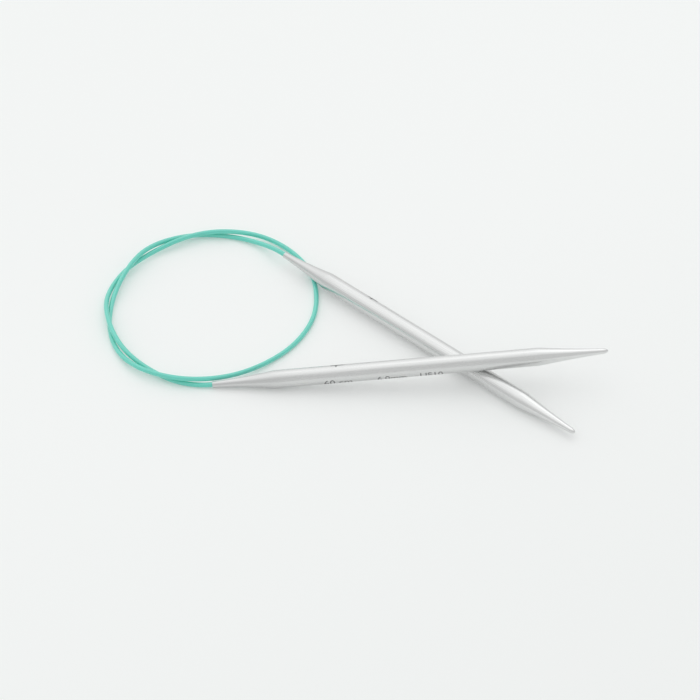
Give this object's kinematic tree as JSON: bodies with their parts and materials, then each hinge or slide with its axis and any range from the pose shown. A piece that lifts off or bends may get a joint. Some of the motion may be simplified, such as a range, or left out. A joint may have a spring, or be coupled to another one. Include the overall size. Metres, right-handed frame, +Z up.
{
  "type": "circular knitting needle",
  "caption": "Circular knitting needle: hollow steel points joined by a loosely coiled teal nylon cable, with swivelling ends.",
  "frame": {"origin": "on the surface the needle lies on, under the middle of the two steel points' bounding box", "axes": "+X along the front point towards its tip, +Y away from the front point towards the rear point's mouth, +Z up"},
  "size_m": [0.167, 0.1053, 0.0142],
  "materials": {
    "needle_steel": "satin stainless steel, bright along the points",
    "swivel_brass": "machined brass",
    "plug_aluminium": "machined aluminium",
    "washer_nylon": "natural nylon",
    "cable_nylon": "smooth extruded nylon, slightly translucent"
  },
  "bodies": {
    "cable": {"cable_loop": "cable_nylon"},
    "front_end": {"cable_front_lead": "cable_nylon", "front_cable_head": "swivel_brass"},
    "front_needle": {"front_needle_tube": "needle_steel", "front_swivel_bush": "swivel_brass", "front_thrust_washer": "washer_nylon", "front_stop_plug": "plug_aluminium"},
    "rear_end": {"cable_rear_lead": "cable_nylon", "rear_cable_head": "swivel_brass"},
    "rear_needle": {"rear_needle_tube": "needle_steel", "rear_swivel_bush": "swivel_brass", "rear_thrust_washer": "washer_nylon", "rear_stop_plug": "plug_aluminium"}
  },
  "joints": [
    {"name": "front_cable_flex", "type": "hinge", "parent": "cable", "child": "front_end", "pos_m": [-0.07263, -0.0187, 0.00093], "axis": [0, 0, 1], "range_deg": [-30, 0], "stiffness_Nm_per_rad": 0.02},
    {"name": "front_swivel", "type": "hinge", "parent": "front_end", "child": "front_needle", "pos_m": [-0.0647, -0.0195, 0.0013], "axis": [0.9954, 0.0226, 0.0929], "continuous": true},
    {"name": "rear_cable_flex", "type": "hinge", "parent": "cable", "child": "rear_end", "pos_m": [-0.04688, 0.05031, 0.00296], "axis": [0, 0, 1], "range_deg": [0, 30], "stiffness_Nm_per_rad": 0.02},
    {"name": "rear_swivel", "type": "hinge", "parent": "rear_end", "child": "rear_needle", "pos_m": [-0.0417, 0.0444, 0.0043], "axis": [0.7277, -0.6858, -0.012], "continuous": true}
  ]
}
